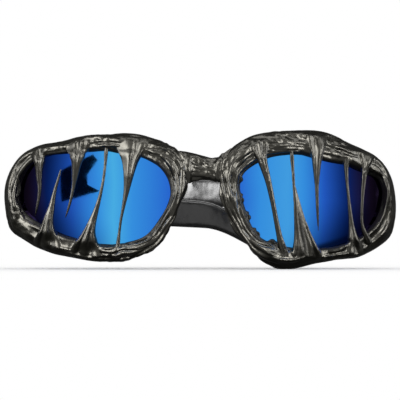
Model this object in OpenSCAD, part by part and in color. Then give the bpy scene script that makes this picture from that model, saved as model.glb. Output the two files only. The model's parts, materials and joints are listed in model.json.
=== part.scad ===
// Wrap sunglasses whose rim looks melted.
// A moulded front, bent to a sphere, holds two mirror lenses in grooves. A glossy
// coat clads both rims and the bridge, and drawn-out strands of it cross the lenses.
// Both temples are shown folded. X is the width, the front faces -Y, Z is up, and the
// glasses stand on the lowest run of the coat at z = 0. Left and right are the wearer's.

/* [Front] */
// Width over both rims
front_w = 150; // [140:1:160]
// Height of the taller rim
front_h = 52.7; // [50:0.5:56]
// Radius of the sphere that the front is bent to
front_r = 110; // [100:1:130]
// Thickness of the moulded front
frame_th = 4.5; // [4.4:0.1:5.5]
// Depth of the nose flares behind the rims
flare_depth = 6; // [3:0.5:7]
// Thickness of the nose flares
flare_th = 3; // [2.4:0.1:3.6]
// Radius of the rounded face of a nose flare
flare_r = 12; // [11:0.5:13]

/* [Lenses] */
// Thickness of a lens
lens_th = 2; // [1.8:0.1:2.2]
// Depth of the groove that holds the lens
groove_depth = 1; // [0.8:0.1:1.2]
// Play of the lens in its groove, on every side
lens_play = 0.1; // [0.05:0.01:0.15]
// Front lip of the groove
groove_lip = 1.6; // [1.5:0.1:1.8]

/* [Melted coat] */
// Height of the coat over the front
coat_h = 3.6; // [3:0.1:4.5]
// Wall of the coat on the outer edge of the rim
skirt_th = 1.3; // [1:0.1:1.6]
// Wall of the coat inside the lens opening
lip_th = 0.6; // [0.5:0.05:0.8]
// Gap between the coat and the moulding under it
coat_gap = 0.2; // [0.15:0.05:0.3]
// Unevenness of the coat, as a share of its height
lumps = 0.14; // [0:0.01:0.25]
// Height of the ropes that wind along the coat
rope_h = 1.2; // [0.6:0.1:1.6]
// How far the root of a strand sinks into the coat
root_sink = 1.4; // [1:0.1:1.8]

/* [Temples] */
// Length of a temple from its hinge to its tip
temple_len = 116; // [113:1:120]
// Height of a temple at its hinge
temple_root_h = 14; // [13:0.5:15]
// Height of a temple where its hook begins
temple_mid_h = 10.6; // [9:0.2:11.6]
// Height of a temple near its tip
temple_tip_h = 6.2; // [5:0.2:7]
// Thickness of a temple at its hinge
temple_root_th = 4; // [3.6:0.1:4.4]
// Thickness of a temple near its tip
temple_tip_th = 3.2; // [2.8:0.1:3.6]
// Crown of the outer side of a temple
temple_crown = 0.4; // [0:0.1:0.8]
// Distance from the hinge to where the hook begins
hook_start = 69; // [64:1:70]
// Distance along the temple in which the hook comes down
hook_run = 34; // [30:1:36]
// How far the ear hook drops
hook_drop = 12.5; // [10:0.5:13]

/* [Hinges] */
// Distance from the end of the front to each hinge axis
hinge_inset = 7.5; // [7:0.1:8]
// Height of the hinges above the ground
hinge_z = 25.2; // [24:0.2:27]
// Lean of both hinge axes towards +X, so that the folded temples pass in two lanes
hinge_lean = 3.7; // [3:0.1:5]
// Length of the end lugs behind the front
lug_len = 5.2; // [5:0.1:7]
// Angle of the folded right temple from the line between the hinges
right_fold = 2; // [1:0.5:3]
// Angle of the folded left temple, which lies behind the right one
left_fold = 6.5; // [6:0.5:9]
// Radius of the knuckles
knuckle_r = 2.2; // [1.9:0.1:2.4]
// Height of the three knuckles together
hinge_h = 9; // [8:0.5:10]
// Thickness of the leaf plates
leaf_th = 0.9; // [0.7:0.1:1.1]
// Length of the temple's leaf
leaf_len = 8.5; // [8:0.5:10]
// Radius of the screw's shank
screw_r = 0.7; // [0.6:0.05:0.8]
// Running play between the screw and the temple's knuckle
screw_play = 0.05; // [0.02:0.01:0.08]
// Gap between the end faces of the knuckles, and between lug and temple
end_gap = 0.1; // [0.05:0.05:0.2]
// Radius of a rivet's shank
rivet_r = 0.6; // [0.5:0.05:0.7]

/* [Hidden] */

coat_colour = "#33342b";
frame_colour = "#1b1b1a";
lens_colour = "#2f7fe0";
temple_colour = "#141414";
metal_colour = "#a9abad";

// Ribs of each rim, seen from the front: [inner x, inner z, outer x, outer z],
// from the end of the front over the top to the bridge and back below the lens.
left_drawing = [
    [69.6, 27.5, 75, 25], [69.3, 31, 74, 32], [67.8, 34.2, 71.8, 38], [64.3, 35.9, 68, 42.4],
    [61, 37.2, 63.5, 45.2], [56, 39.3, 57.6, 47.8], [50, 40.3, 51.5, 50.8], [44, 41.8, 45, 52.5],
    [38.6, 43.2, 38.5, 52.7], [32.5, 43.2, 31.5, 52.7], [27, 42.3, 25, 51.6], [22.8, 40.6, 18.5, 50.2],
    [19, 38.4, 13.4, 47.2], [16.4, 36, 8.8, 43.3], [15.3, 33, 6.9, 38], [15.3, 29.8, 7.4, 31.8],
    [16, 26.5, 8.9, 25.8], [17.2, 22.7, 10.8, 20.4], [18.7, 18.4, 13.4, 15.6], [20.8, 14.4, 16.8, 10.6],
    [24, 11.4, 20.4, 5.6], [29, 9.6, 26, 1.6], [34.6, 8.3, 32, -0.5], [42, 8.1, 40.5, 1.2],
    [49.8, 8.4, 51, 3.3], [57.5, 10.5, 60.5, 4.4], [63.3, 14.2, 68.2, 8.4], [67.6, 20, 73.6, 14]
];
right_drawing = [
    [-68.7, 27, -74.9, 25], [-68.2, 32.2, -74, 33.5], [-66.1, 37.1, -71, 40], [-62.4, 41.2, -65.7, 45],
    [-58, 43, -59.5, 47.8], [-52.7, 43.6, -52.8, 48.6], [-47, 44, -47, 50], [-42, 44.4, -41, 50.8],
    [-35.2, 44.6, -34, 51.1], [-29.9, 43.6, -28, 51.6], [-25, 43, -22.5, 51], [-20.5, 41.6, -16.5, 49.2],
    [-15.8, 38.9, -9.5, 46.3], [-13, 35.5, -5.6, 41], [-11.6, 32.2, -4.6, 35.5], [-11.2, 28.4, -5, 30.2],
    [-12.4, 24.4, -7.6, 24.2], [-14.8, 20, -9.8, 18.3], [-17.8, 15.7, -13, 12.2], [-20.8, 12.8, -17, 8],
    [-25.5, 10.8, -23, 4.8], [-32.2, 9.6, -30.5, 2.9], [-39, 9.8, -38.5, 2.7], [-45.8, 11.4, -46.5, 3.9],
    [-53.5, 13.6, -55, 5.4], [-59.5, 16.6, -62.3, 8], [-64, 19.4, -68.6, 11.6], [-67.2, 22.4, -73, 15.8]
];
// The drawings are fitted to front_w and front_h.
drawn_w = 2 * max([for (r = left_drawing) r[2]]);
drawn_h = max([for (r = left_drawing) r[3]]);
left_ribs = drawn(left_drawing);
right_ribs = drawn(right_drawing);
// Points on the outlines between one rib and the next
steps = 4;
// On each rim the ribs from the first to the last of these meet the bridge, and have no skirt.
bridge_ribs = [11.7, 14.8];

// Upper and lower edge of the bridge: [x, z]
bridge_top = drawn2([
    [-9.5, 45.8], [-4.5, 44.7], [0, 43.2], [4.5, 42], [7, 42.4], [9.1, 43.6], [13, 46.8]
]);
bridge_low = drawn2([
    [-8, 31.8], [-4.6, 31.8], [-3.2, 33], [0.4, 33.7], [3.4, 33.6], [6.1, 32.6], [10, 32.2]
]);
// Where the coats of the rims end on the bridge: [x, z], swapped to look up x by z
bridge_left = swapped(drawn2([[7.4, 30], [6.75, 33], [6.9, 38], [7.7, 41], [8.8, 43.3], [13.4, 47.2]]));
bridge_right = swapped(drawn2([
    [-5, 30], [-4.55, 33], [-4.6, 35.5], [-4.9, 38.3], [-5.6, 41], [-7.4, 44], [-9.5, 46.3]
]));
// Heights at which the stations of the bridge are laid out along its upper and lower edge
bridge_hi = sz(43);
bridge_lo = sz(33);

// Gap between the coat of the bridge and the coats of the rims, its stations and its lower height
bridge_gap = 0.5;
bridge_rings = 13;
bridge_share = 0.72;

// Strands: rows of [x, z, width], from the root to the tip or the far root.
// The sixth on the left branches off the fourth.
left_strands = [
    [[63.4, 45.4, 5.2], [63.2, 41.5, 3.6], [62.6, 36.5, 2.2], [62, 29.5, 1.5], [61.6, 22.3, 1.2],
        [61.8, 16.3, 1.4], [63.6, 11.6, 2.2], [64.6, 9.2, 2.8]],
    [[59.2, 6.4, 4.6], [58.4, 10.4, 3], [57.6, 16.3, 1.7], [57, 22, 1.3], [56.4, 28, 1.2],
        [55.8, 34, 1.3], [55.5, 40.2, 1.9], [55.6, 43.6, 3]],
    [[44.3, 50.2, 5.6], [44.4, 45.4, 4.2], [44.3, 39.4, 3], [44.3, 32.2, 1.7], [44.5, 24, 1.3],
        [44.9, 14.4, 0.8]],
    [[37, 3.4, 3.6], [37.2, 8.2, 2.6], [36.7, 14.5, 1.6], [36.2, 22, 1.3], [35.6, 31, 1.2],
        [35.1, 39, 1.4], [34.7, 44.2, 2.2]],
    [[21.8, 48.6, 6], [22.8, 43.8, 4.2], [24.2, 39, 3.1], [25.8, 33.4, 2.4], [27, 28, 2.1],
        [28.1, 22.4, 1.9], [29.2, 16.6, 2], [30.6, 10.4, 2.4], [32.4, 5, 3.4]],
    [[43.6, 3.8, 3.6], [42.6, 8.4, 2.6], [40.6, 14.5, 1.6], [38.4, 22, 1.2], [36.5, 28.6, 1.1], [35.7, 32, 1]]
];
right_strands = [
    [[-60.6, 46, 6.2], [-61, 41.2, 3.6], [-61.2, 35.6, 2.4], [-61, 29.8, 1.6], [-61.8, 24.4, 1.2],
        [-62.8, 20.2, 0.8]],
    [[-58, 8.6, 8], [-58.1, 13, 6.2], [-57.6, 18.6, 4], [-56.4, 23.6, 2.5], [-55.2, 29.6, 1.5],
        [-53.8, 34.4, 1.1], [-52.8, 38.2, 0.8]],
    [[-46.1, 48, 7.6], [-46.6, 42.6, 4.6], [-47.1, 38.2, 3], [-48, 31.4, 1.6], [-49.4, 25, 1.2],
        [-51.2, 19.2, 0.8]],
    [[-43.4, 5.4, 9.4], [-42.8, 10.6, 6.6], [-41.4, 16.2, 3.6], [-39.6, 21.6, 2.1], [-38, 27.2, 1.5],
        [-36.6, 34, 1.2], [-35.8, 41, 1.3], [-35.5, 46.4, 2.2]],
    [[-25.2, 48.8, 9.4], [-26.2, 43, 7], [-26.8, 37.4, 4.4], [-27.6, 31, 2.5], [-28.8, 24.6, 1.6],
        [-29.9, 19, 1.2], [-30.7, 12.8, 1.3], [-31.4, 6.6, 2.4]]
];
strand_sides = 8;
strand_steps = 3;
strand_flat = 0.75;
strand_max_th = 2.8;

hinge_x = front_w / 2 - hinge_inset;
// The inner faces of lug and temple clear the knuckles by this much.
inner_gap = knuckle_r + 2 * end_gap;
lug_x = hinge_x + inner_gap + temple_root_th / 2;
hinge_depth = arc_y(lug_x, hinge_z, -frame_th) + lug_len;
// The whole part is centred front to back.
coat_peak = coat_h + rope_h / 2;
folded_depth = hinge_depth + inner_gap + temple_tip_th + temple_len * sin(left_fold);
front_y = (coat_peak - folded_depth) / 2;
hinge_y = front_y + hinge_depth;
lens_front = -(groove_lip + lens_play);
opening_grow = lip_th + coat_gap;
frame_shrink = skirt_th + coat_gap;
land_z = 0;
slip = 0.3;
hole_play = 0.02;
// Middle of the nose gap, and where the flares stand on each side of it
nose_x = sx(1.4);
flare_z = sz(21.5);
flare_inset = sx(11.5);
$fn = 64;

function sx(x) = x * front_w / drawn_w;
function sz(z) = z * front_h / drawn_h;
function drawn(ribs) = [for (r = ribs) [sx(r[0]), sz(r[1]), sx(r[2]), sz(r[3])]];
function drawn2(points) = [for (p = points) [sx(p[0]), sz(p[1])]];
function swapped(points) = [for (p = points) [p[1], p[0]]];
function front_mid_z() = front_h / 2;

// Depth behind the foremost point of the front's sphere, at height d off its face
function arc_y(x, z, d) = front_r - sqrt(pow(front_r + d, 2) - x * x - pow(z - front_mid_z(), 2));
function face_y(x, z, d) = front_y + arc_y(x, z, d);

function unit(v) = v / norm(v);
function mix(a, b, t) = a + (b - a) * t;
function ease(t) = let (c = min(1, max(0, t))) c * c * (3 - 2 * c);

// A smooth curve through rows of numbers, closed or open
function spline(a, b, c, d, t) =
    0.5 * (2 * b + (c - a) * t + (2 * a - 5 * b + 4 * c - d) * t * t + (3 * b - a - 3 * c + d) * t * t * t);
function closed_curve(p, n) = let (m = len(p))
    [for (i = [0:m - 1], j = [0:n - 1])
        spline(p[(i + m - 1) % m], p[i], p[(i + 1) % m], p[(i + 2) % m], j / n)];
function open_curve(p, n) = let (m = len(p)) concat(
    [for (i = [0:m - 2], j = [0:n - 1])
        spline(p[max(0, i - 1)], p[i], p[i + 1], p[min(m - 1, i + 2)], j / n)],
    [p[m - 1]]);

function turn(p) = let (n = len(p))
    sign([for (i = [0:n - 1]) cross(p[i], p[(i + 1) % n])] * [for (i = [0:n - 1]) 1]);
// An outline moved outwards by d, each point along its own normal
function grown(p, d) = let (n = len(p), s = turn(p))
    [for (i = [0:n - 1]) let (t = unit(p[(i + 1) % n] - p[(i + n - 1) % n])) p[i] + d * s * [t[1], -t[0]]];

function inner_line(ribs) = [for (r = closed_curve(ribs, steps)) [r[0], r[1]]];
function outer_line(ribs) = [for (r = closed_curve(ribs, steps)) [r[2], r[3]]];

// Triangles between rings of equal count, closed into a loop or capped at both ends
function ring_faces(rings, sides, looped) = [
    for (i = [0:rings - (looped ? 1 : 2)], j = [0:sides - 1], k = [0, 1])
        let (a = i * sides + j, b = i * sides + (j + 1) % sides,
            c = ((i + 1) % rings) * sides + (j + 1) % sides, e = ((i + 1) % rings) * sides + j)
        k == 0 ? [a, c, b] : [a, e, c]];
function cap(sides, o) = [for (k = [0:sides - 3])
    let (a = o + ceil(k / 2), b = o + sides - 1 - floor(k / 2))
        k % 2 == 0 ? [a, a + 1, b] : [a, b - 1, b]];
function cap_faces(rings, sides) = concat(cap(sides, 0), flipped(cap(sides, (rings - 1) * sides)));
function flipped(faces) = [for (f = faces) [f[0], f[2], f[1]]];

// The front's sphere, and a shell between two heights off its face
module ball(d) {
    translate([0, front_y + front_r, front_mid_z()])
        sphere(r = front_r + d, $fn = 128);
}
module shell(outer_d, inner_d) {
    difference() {
        ball(outer_d);
        ball(inner_d);
    }
}
// A prism along Y on an outline in X and Z
module prism(points) {
    translate([0, hinge_y, 0])
        rotate([90, 0, 0])
            linear_extrude(height = hinge_y - front_y + coat_peak)
                polygon(points);
}

// Moulded front
module front_frame() {
    color(frame_colour)
        difference() {
            union() {
                for (ribs = [left_ribs, right_ribs])
                    rim_body(ribs);
                bridge_body();
                for (side = [-1, 1])
                    lug(side);
            }
            for (side = [-1, 1])
                hinge_place(side)
                    leaf_rivet_holes(-1);
        }
}
module rim_body(ribs) {
    inner = inner_line(ribs);
    difference() {
        intersection() {
            union() {
                shell(0, -frame_th);
                nose_flare(turn(inner));
            }
            prism(grown(outer_line(ribs), -frame_shrink));
        }
        prism(grown(inner, opening_grow));
        intersection() {
            shell(-groove_lip, -groove_lip - lens_th - 2 * lens_play);
            prism(grown(inner, opening_grow + groove_depth));
        }
    }
}
// The flare that rests on the side of the nose goes on behind the rim, with a rounded face.
module nose_flare(side) {
    intersection() {
        shell(slip - frame_th, -frame_th - flare_depth);
        translate([nose_x + side * (flare_inset + flare_r), face_y(0, flare_z, -frame_th), flare_z])
            difference() {
                sphere(r = flare_r);
                sphere(r = flare_r - flare_th);
            }
    }
}
module bridge_body() {
    top = [for (p = bridge_top) p - [0, frame_shrink]];
    low = [for (p = bridge_low) p + [0, frame_shrink]];
    intersection() {
        shell(0, -frame_th);
        prism(concat(top, [for (i = [len(low) - 1:-1:0]) low[i]]));
    }
}
// End lug, which carries the hinge. Its section is that of the temple's root.
module lug(side) {
    intersection() {
        ball(slip - frame_th);
        hinge_place(side)
            translate([0, -end_gap / 2, 0])
                rotate([90, 0, 0])
                    linear_extrude(height = lug_len + 3 * temple_root_th)
                        polygon([for (p = arm_section(0)) [-p[0], p[1]]]);
    }
}

// Lens
module lens(ribs) {
    color(lens_colour)
        intersection() {
            shell(lens_front, lens_front - lens_th);
            prism(grown(inner_line(ribs), opening_grow + groove_depth - lens_play));
        }
}

// Melted coat
// A section of the coat runs from the lens over the top to the outer edge, with its points
// closer together at both edges: shares of the way across, and the dome over them
coat_points = 12;
across = [for (j = [1:coat_points - 1]) (1 - cos(180 * j / coat_points)) / 2];
function dome(u) = pow(1 - pow(2 * u - 1, 2), 0.45);
function lump(a, u, seed) = 1 + lumps * (sin(7 * a + seed + 60 * u)
    + 0.7 * sin(13 * a + 2 * seed - 110 * u) + 0.5 * sin(23 * a + 3 * seed + 200 * u));
// Ropes that wind along the coat: [middle of the sway, sway, sways in a turn, phase], and their half width,
// all across the coat as shares of its width
ropes = [[0.26, 0.14, 3, 20], [0.5, 0.2, 2, 140], [0.76, 0.12, 5, 250]];
rope_half = 0.15;
function rope_rise(a, u, seed) = rope_h * max([for (r = ropes)
    max(0, 1 - pow((u - r[0] - r[1] * sin(r[2] * a + r[3] + seed)) / rope_half, 2))]);
// Height of a coat of height h off the face, at angle a along it and share u across it
function coat_d(h, a, u, seed) =
    dome(u) * ((h - rope_h / 2) * lump(a, u, seed) + rope_rise(a, u, seed));

// Heights off the face: the edge of a skirt beside the moulding, and its rear end
skirt_d = -0.8;
skirt_end = coat_gap + slip - frame_th;
// The same two where the coat has no skirt
bare_d = 0.6;
bare_end = 0.35;
lip_end = 2 * coat_gap - groove_lip;
// A point over or under the front's face, never below the ground
function on_face(p, d) = let (z = max(land_z, p[1])) [p[0], face_y(p[0], z, d), z];

// How much of the skirt stands at rib k of a rim: none where the bridge joins
function skirt_share(k) = k > bridge_ribs[0] && k < bridge_ribs[1] ? 0 : 1;
module melt_coat(ribs, seed) {
    inner = inner_line(ribs);
    outer = outer_line(ribs);
    lip = grown(inner, lip_th);
    skirt = grown(outer, -skirt_th);
    n = len(inner);
    rings = [for (i = [0:n - 1])
        let (a = 360 * i / n, s = skirt_share(i / steps), w = outer[i] - inner[i])
        concat(
            [on_face(inner[i] + 0.02 * w, lip_end), on_face(inner[i], 0.1 * coat_h)],
            [for (u = across) on_face(inner[i] + u * w, coat_d(coat_h, a, u, seed))],
            [on_face(outer[i], s > 0 ? skirt_d : bare_d + coat_h / 8),
                on_face(outer[i] - 0.015 * w, s > 0 ? skirt_end : bare_d),
                on_face(skirt[i], s > 0 ? skirt_end : bare_end + coat_gap),
                on_face(skirt[i] - 0.3 * (1 - s) * unit(w), coat_gap),
                on_face(lip[i], coat_gap), on_face(lip[i], lip_end)])];
    faces = ring_faces(n, len(rings[0]), true);
    color(coat_colour)
        polyhedron([for (r = rings, p = r) p], turn(inner) > 0 ? faces : flipped(faces));
}

// Coat of the bridge, between the coats of the rims. It has skirts where it is clear of the rims.
bridge_skirt = [0.15, 0.85];
bridge_seed = 40;
function bridge_x(f, z) =
    mix(lookup(z, bridge_right) + bridge_gap, lookup(z, bridge_left) - bridge_gap, f);
function bridge_ring(f) =
    let (hi = lookup(bridge_x(f, bridge_hi), bridge_top), lo = lookup(bridge_x(f, bridge_lo), bridge_low),
        h = coat_h * (bridge_share + 0.2 * pow(2 * f - 1, 2)),
        s = f > bridge_skirt[0] && f < bridge_skirt[1] ? 1 : 0, inset = skirt_th + 0.2 * (1 - s),
        edge = s > 0 ? skirt_d : bare_d, deep = s > 0 ? skirt_end : bare_end,
        top = concat([[0, edge]], [for (u = across) [u, coat_d(h, 90 * f, u, bridge_seed)]], [[1, edge]]),
        under = [[hi - 0.1, deep], [hi - skirt_th, deep], [hi - inset, coat_gap],
            [mix(lo, hi, 0.66), coat_gap], [mix(lo, hi, 0.33), coat_gap],
            [lo + inset, coat_gap], [lo + skirt_th, deep], [lo + 0.1, deep]])
    concat(
        [for (q = top) let (z = mix(lo, hi, q[0])) on_face([bridge_x(f, z), z], q[1])],
        [for (q = under) on_face([bridge_x(f, q[0]), q[0]], q[1])]);
module bridge_melt_coat() {
    rings = [for (i = [0:bridge_rings - 1]) bridge_ring(i / (bridge_rings - 1))];
    sides = len(rings[0]);
    color(coat_colour)
        polyhedron([for (r = rings, p = r) p],
            flipped(concat(ring_faces(bridge_rings, sides, false), cap_faces(bridge_rings, sides))));
}

// A strand, drawn from its root on the coat across the lens. Both ends are rounded off.
function strand_th(w) = min(strand_max_th, strand_flat * w);
function strand_d(w) = coat_h + strand_th(w) / 2 - root_sink;
function end_share(i, n) = let (k = min(i, n - 1 - i)) k == 0 ? 0.45 : k == 1 ? 0.85 : 1;
function strand_ring(a, b, c, share) =
    let (t = unit([c[0] - a[0], c[1] - a[1]]))
    [for (j = [0:strand_sides - 1])
        let (v = 360 * j / strand_sides, p = [b[0], b[1]] + share * b[2] / 2 * cos(v) * [t[1], -t[0]])
        on_face(p, strand_d(b[2]) + share * strand_th(b[2]) / 2 * sin(v))];
module strand(rows) {
    path = open_curve([for (r = rows) [sx(r[0]), sz(r[1]), r[2]]], strand_steps);
    n = len(path);
    points = [for (i = [0:n - 1])
        strand_ring(path[max(0, i - 1)], path[i], path[min(n - 1, i + 1)], end_share(i, n))];
    faces = concat(ring_faces(n, strand_sides, false), cap_faces(n, strand_sides));
    color(coat_colour)
        polyhedron([for (r = points, p = r) p], flipped(faces));
}

// Places its children at a hinge, as for the right temple: x runs along the folded temple
module hinge_place(side) {
    translate([side * hinge_x, hinge_y, hinge_z])
        rotate([0, hinge_lean, 0])
            mirror([side > 0 ? 1 : 0, 0, 0])
                children();
}
module folded(side) {
    hinge_place(side)
        rotate([0, 0, side > 0 ? left_fold : right_fold])
            children();
}

// Temple
function hook(s) = hook_drop * ease((s - hook_start) / hook_run);
function arm_h(s) = lookup(s, [
    [0, temple_root_h], [0.45 * hook_start, mix(temple_root_h, temple_mid_h, 0.62)],
    [hook_start, temple_mid_h], [hook_start + 0.6 * hook_run, mix(temple_mid_h, temple_tip_h, 0.7)],
    [hook_start + hook_run, temple_tip_h], [temple_len - 6, temple_tip_h]]);
function arm_th(s) = mix(temple_root_th, temple_tip_th, s / temple_len);
// Rounded section of the arm in local y and z, with its inner side on y = inner_gap
arm_round = 1.2;
function arm_section(s, k = 1) = let (h = arm_h(s) * k / 2, th = arm_th(s), y0 = inner_gap + th / 2 * (1 - k),
    y1 = inner_gap + th / 2 * (1 + k), r = arm_round * k)
    concat(
        [for (v = [180, 225, 270]) [y0 + r + r * cos(v), -h + r + r * sin(v)]],
        [for (v = [270, 315, 360]) [y1 - r + r * cos(v), -h + r + r * sin(v)]],
        [[y1 + temple_crown * k, 0]],
        [for (v = [0, 45, 90]) [y1 - r + r * cos(v), h - r + r * sin(v)]],
        [for (v = [90, 135, 180]) [y0 + r + r * cos(v), h - r + r * sin(v)]]);
// The arm's stations: [distance from the hinge, share of the section], rounded off at the tip
arm_stations = concat(
    [for (s = [end_gap / 2, 6, 14, 24, 36, 50]) [s, 1]],
    [for (i = [0:12]) [hook_start - 4 + (hook_run + 6) * i / 12, 1]],
    [[temple_len - 5, 1], [temple_len - 2.6, 0.94], [temple_len - 1, 0.75], [temple_len - 0.2, 0.45]]);
module temple_arm() {
    rings = [for (q = arm_stations) [for (p = arm_section(q[0], q[1])) [q[0], p[0], p[1] - hook(q[0])]]];
    sides = len(rings[0]);
    n = len(rings);
    difference() {
        polyhedron([for (r = rings, p = r) p], concat(ring_faces(n, sides, false), cap_faces(n, sides)));
        leaf_rivet_holes(1);
    }
}
module temple(side) {
    color(temple_colour)
        folded(side)
            temple_arm();
}

// Hinge: leaves, screw and rivets in hinge_place's frame
// The front leaf lies on the lug, along -y; the temple's leaf on the arm, along +x.
knuckle_h = (hinge_h - 2 * end_gap) / 3;
plate_in = inner_gap - leaf_th;
front_leaf_len = lug_len + 0.6;
rivet_z = hinge_h / 2 - 2;
rivet_head_r = 1.5 * rivet_r;
rivet_head_h = 0.35;
rivet_depth = 1.8;
front_rivet_at = front_leaf_len - 1.6;
temple_rivet_at = leaf_len - 1.6;
module at_knuckle(k) {
    translate([0, 0, k * (knuckle_h + end_gap) - knuckle_h / 2])
        children();
}
module knuckle(k) {
    at_knuckle(k)
        cylinder(r = knuckle_r, h = knuckle_h);
}
// Room for the other leaf's knuckle k
module knuckle_room(k) {
    translate([0, 0, -end_gap])
        at_knuckle(k)
            cylinder(r = knuckle_r + end_gap, h = knuckle_h + 2 * end_gap);
}
module leaf_rivets(side, r, head) {
    for (z = [-rivet_z, rivet_z])
        translate(side > 0 ? [temple_rivet_at, plate_in, z] : [-plate_in, -front_rivet_at, z])
            rotate(side > 0 ? [-90, 0, 0] : [0, -90, 0]) {
                cylinder(r = r, h = leaf_th + rivet_depth);
                if (head)
                    translate([0, 0, -rivet_head_h])
                        cylinder(r = rivet_head_r, h = rivet_head_h);
            }
}
module leaf_rivet_holes(side) {
    leaf_rivets(side, rivet_r + hole_play, false);
}
module front_leaf(side) {
    color(metal_colour)
        hinge_place(side)
            difference() {
                union() {
                    knuckle(-1);
                    knuckle(1);
                    translate([-inner_gap, -front_leaf_len, -hinge_h / 2])
                        cube([leaf_th, front_leaf_len, hinge_h]);
                }
                knuckle_room(0);
                translate([0, 0, -hinge_h])
                    cylinder(r = screw_r + hole_play, h = 2 * hinge_h);
                leaf_rivet_holes(-1);
            }
}
module temple_leaf(side) {
    color(metal_colour)
        folded(side)
            difference() {
                union() {
                    knuckle(0);
                    translate([0, plate_in, -hinge_h / 2])
                        cube([leaf_len, leaf_th, hinge_h]);
                }
                knuckle_room(-1);
                knuckle_room(1);
                translate([0, 0, -hinge_h])
                    cylinder(r = screw_r + screw_play, h = 2 * hinge_h);
                leaf_rivet_holes(1);
            }
}
screw_head_r = 1.4;
screw_head_h = 0.8;
module hinge_screw(side) {
    color(metal_colour)
        hinge_place(side)
            difference() {
                union() {
                    translate([0, 0, -hinge_h / 2])
                        cylinder(r = screw_r, h = hinge_h);
                    translate([0, 0, hinge_h / 2])
                        cylinder(r = screw_head_r, h = screw_head_h);
                }
                translate([-screw_head_r, -0.2, hinge_h / 2 + screw_head_h / 2])
                    cube([2 * screw_head_r, 0.4, screw_head_h]);
            }
}
module front_rivets() {
    color(metal_colour)
        for (side = [-1, 1])
            hinge_place(side)
                leaf_rivets(-1, rivet_r, true);
}
module temple_rivets(side) {
    color(metal_colour)
        folded(side)
            leaf_rivets(1, rivet_r, true);
}

front_frame();
lens(left_ribs);  // left_lens
lens(right_ribs);  // right_lens
melt_coat(left_ribs, 10);  // left_melt_coat
melt_coat(right_ribs, 75);  // right_melt_coat
bridge_melt_coat();
strand(left_strands[0]);  // left_strand_1
strand(left_strands[1]);  // left_strand_2
strand(left_strands[2]);  // left_strand_3
strand(left_strands[3]);  // left_strand_4
strand(left_strands[4]);  // left_strand_5
strand(left_strands[5]);  // left_strand_6
strand(right_strands[0]);  // right_strand_1
strand(right_strands[1]);  // right_strand_2
strand(right_strands[2]);  // right_strand_3
strand(right_strands[3]);  // right_strand_4
strand(right_strands[4]);  // right_strand_5
front_leaf(1);  // left_front_leaf
front_leaf(-1);  // right_front_leaf
hinge_screw(1);  // left_hinge_screw
hinge_screw(-1);  // right_hinge_screw
front_rivets();
temple(1);  // left_temple
temple_leaf(1);  // left_temple_leaf
temple_rivets(1);  // left_temple_rivets
temple(-1);  // right_temple
temple_leaf(-1);  // right_temple_leaf
temple_rivets(-1);  // right_temple_rivets
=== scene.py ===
# %% [markdown]
# # Sunglasses with a melted rim
#
# The packed CAD model is the fixed frame of this scene: every piece of the real glasses is in it at
# its real size. This notebook dresses it. It gives the melted coat its ropes and drawn-out strands,
# the lenses their mirror and the temples their polish, and then lights the whole as a product shot.
# Each piece is made in millimetres and turned to metres when its mesh is built. Left and right are
# the wearer's, so the left lens is on the right of the picture.

import json
import math

import bmesh
import bpy
import numpy as np
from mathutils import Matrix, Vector, noise
from mathutils.bvhtree import BVHTree


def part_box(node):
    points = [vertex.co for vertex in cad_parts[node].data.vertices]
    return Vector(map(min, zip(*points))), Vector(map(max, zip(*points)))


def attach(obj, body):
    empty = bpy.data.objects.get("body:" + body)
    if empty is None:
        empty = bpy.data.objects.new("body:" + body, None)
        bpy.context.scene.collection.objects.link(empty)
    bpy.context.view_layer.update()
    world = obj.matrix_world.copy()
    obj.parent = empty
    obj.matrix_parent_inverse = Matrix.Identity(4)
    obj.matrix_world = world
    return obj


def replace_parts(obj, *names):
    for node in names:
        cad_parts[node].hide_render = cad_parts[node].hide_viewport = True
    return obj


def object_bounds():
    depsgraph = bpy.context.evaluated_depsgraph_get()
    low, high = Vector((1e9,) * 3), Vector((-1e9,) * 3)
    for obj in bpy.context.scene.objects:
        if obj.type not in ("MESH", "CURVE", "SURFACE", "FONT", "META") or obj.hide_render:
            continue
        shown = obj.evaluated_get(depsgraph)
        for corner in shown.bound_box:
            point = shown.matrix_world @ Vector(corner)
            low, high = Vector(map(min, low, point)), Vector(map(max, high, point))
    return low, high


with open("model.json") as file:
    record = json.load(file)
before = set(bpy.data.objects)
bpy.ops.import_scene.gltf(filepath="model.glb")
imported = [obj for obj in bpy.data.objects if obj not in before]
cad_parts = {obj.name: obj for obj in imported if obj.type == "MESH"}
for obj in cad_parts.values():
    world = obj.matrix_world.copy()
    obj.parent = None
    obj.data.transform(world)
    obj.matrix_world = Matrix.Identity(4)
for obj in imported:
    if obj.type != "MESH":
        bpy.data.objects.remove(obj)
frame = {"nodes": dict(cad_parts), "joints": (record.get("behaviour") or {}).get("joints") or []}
cad_box = [list(corner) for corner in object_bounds()]
nodes = frame["nodes"]
MM = 0.001
TURN = 2 * math.pi
SIDES = ("left", "right")
print("CAD nodes:", len(nodes), "box in metres:", cad_box)

# %% [markdown]
# ## Cutting the CAD meshes
#
# The dressed pieces have to sit where the CAD pieces are. Copying numbers by hand would break when a
# size changes, so the shapes are measured on the CAD meshes instead. Cuts by parallel planes give the
# width and depth of a long piece, such as a strand or a temple, all along its length.

# %% Cut the CAD meshes
X, Y, Z = (1, 0, 0), (0, 1, 0), (0, 0, 1)


def cad_points(node):
    """The vertices of a CAD node, in millimetres."""
    return np.array([v.co for v in nodes[node].data.vertices]) / MM


def cad_faces(node):
    return [tuple(p.vertices) for p in nodes[node].data.polygons]


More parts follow.
